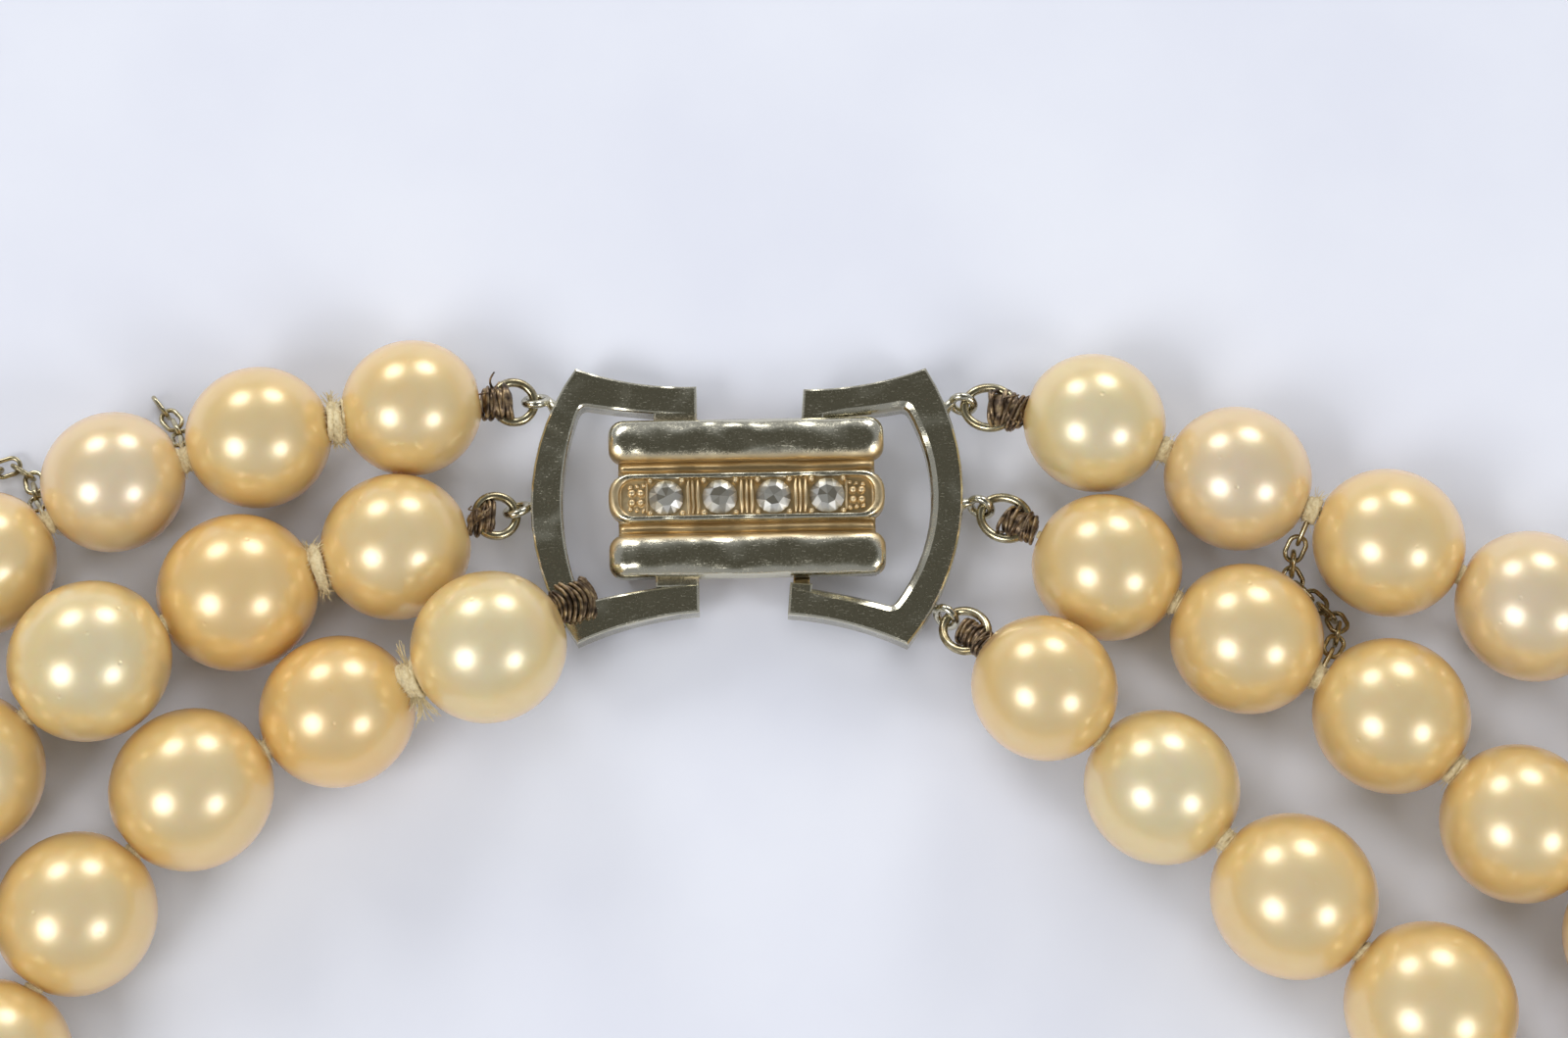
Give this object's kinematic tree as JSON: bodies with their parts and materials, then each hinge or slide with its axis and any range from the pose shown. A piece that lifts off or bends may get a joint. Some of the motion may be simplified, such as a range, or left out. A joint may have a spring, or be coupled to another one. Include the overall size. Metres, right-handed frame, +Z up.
{
  "type": "multi strand necklace",
  "caption": "Multi strand pearl necklace with a bar-shaped box clasp set with small diamonds, laid out as a full loop on a flat surface.",
  "frame": {"origin": "middle of the laid-out loop's bounding box, on the surface it lies on", "axes": "+Z up from the surface, +Y from the middle of the loop towards the clasp, +X to the right seen from above"},
  "size_m": [0.1506, 0.1873, 0.0099],
  "materials": {
    "pearl": "cream to golden nacre with a soft sheen",
    "silk": "cream silk thread",
    "gold": "pale gold, worn and finely scratched",
    "wire": "tarnished brown wound wire",
    "chain": "dull yellow gold",
    "diamond": "clear and faceted"
  },
  "bodies": {
    "root": {"clasp_box": "gold", "clasp_tongue": "gold", "diamond_1": "diamond", "diamond_2": "diamond", "diamond_3": "diamond", "diamond_4": "diamond", "jump_ring_outer_left": "gold", "jump_ring_middle_left": "gold", "jump_ring_outer_right": "gold", "jump_ring_middle_right": "gold", "jump_ring_inner_right": "gold", "wire_coil_outer_left": "wire", "wire_coil_middle_left": "wire", "wire_loop_inner_left": "wire", "wire_coil_outer_right": "wire", "wire_coil_middle_right": "wire", "wire_coil_inner_right": "wire", "thread_outer": "silk", "thread_middle": "silk", "thread_inner": "silk", "pearls_outer": "pearl", "pearls_middle": "pearl", "pearls_inner": "pearl", "safety_chain_left": "chain", "safety_chain_edge": "chain", "safety_chain_right": "chain"}
  },
  "joints": []
}
